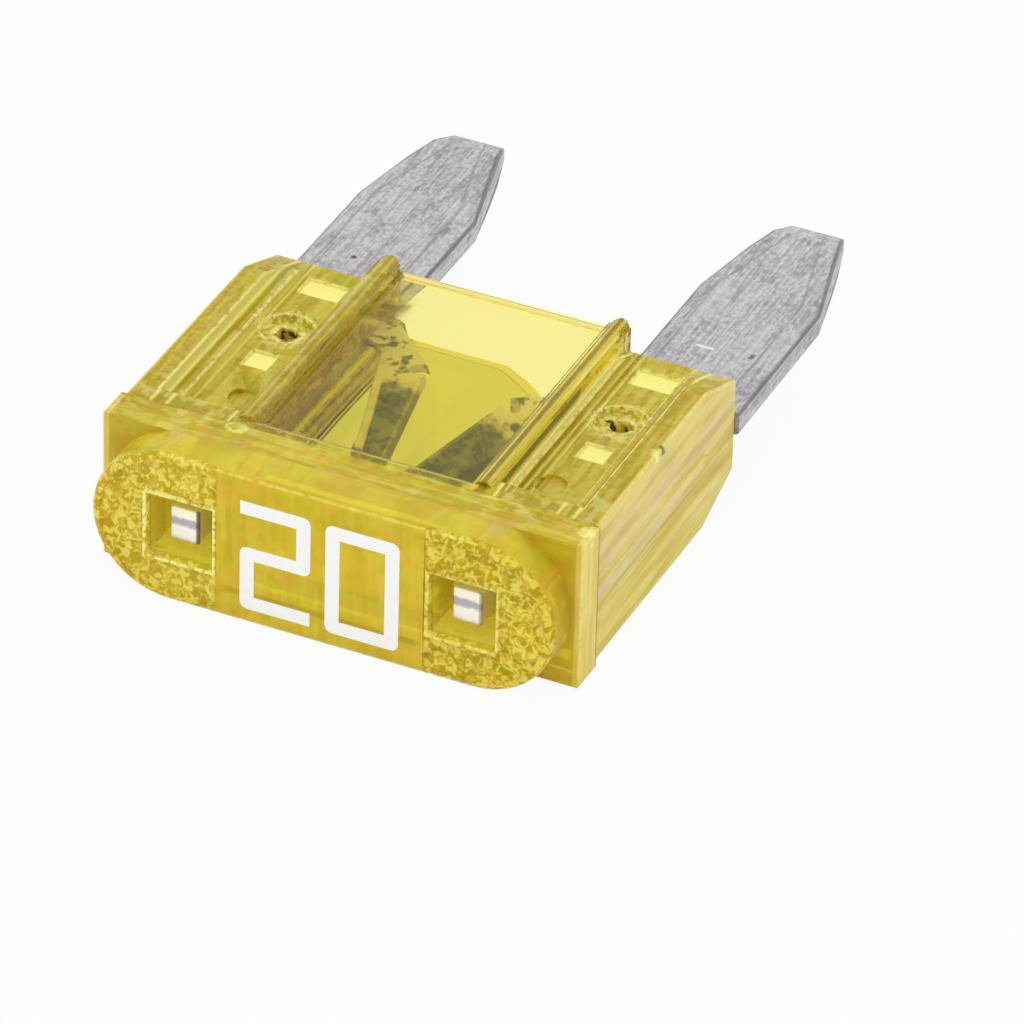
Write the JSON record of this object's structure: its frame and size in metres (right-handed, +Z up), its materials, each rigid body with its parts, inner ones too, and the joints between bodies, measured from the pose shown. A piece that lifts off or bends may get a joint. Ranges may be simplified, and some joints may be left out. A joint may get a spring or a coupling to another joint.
{
  "type": "automotive blade fuse",
  "caption": "Small automotive blade fuse: a clear moulded housing with a round-ended head, a window and ribbed posts, round a stamped zinc element with flat tapered blades.",
  "frame": {"origin": "centre of the fuse's outline on the surface that it lies on, under its broad face", "axes": "+X across the blades, +Y from the head to the blade tips, +Z up through the thickness"},
  "size_m": [0.011, 0.0164, 0.0036],
  "materials": {
    "clear_yellow_plastic": "clear moulded yellow plastic, glossy, with finely textured fields on the head",
    "zinc": "dull grey stamped zinc with fine lengthwise scratches"
  },
  "bodies": {
    "root": {"housing": "clear_yellow_plastic", "fuse_element": "zinc"}
  },
  "joints": []
}
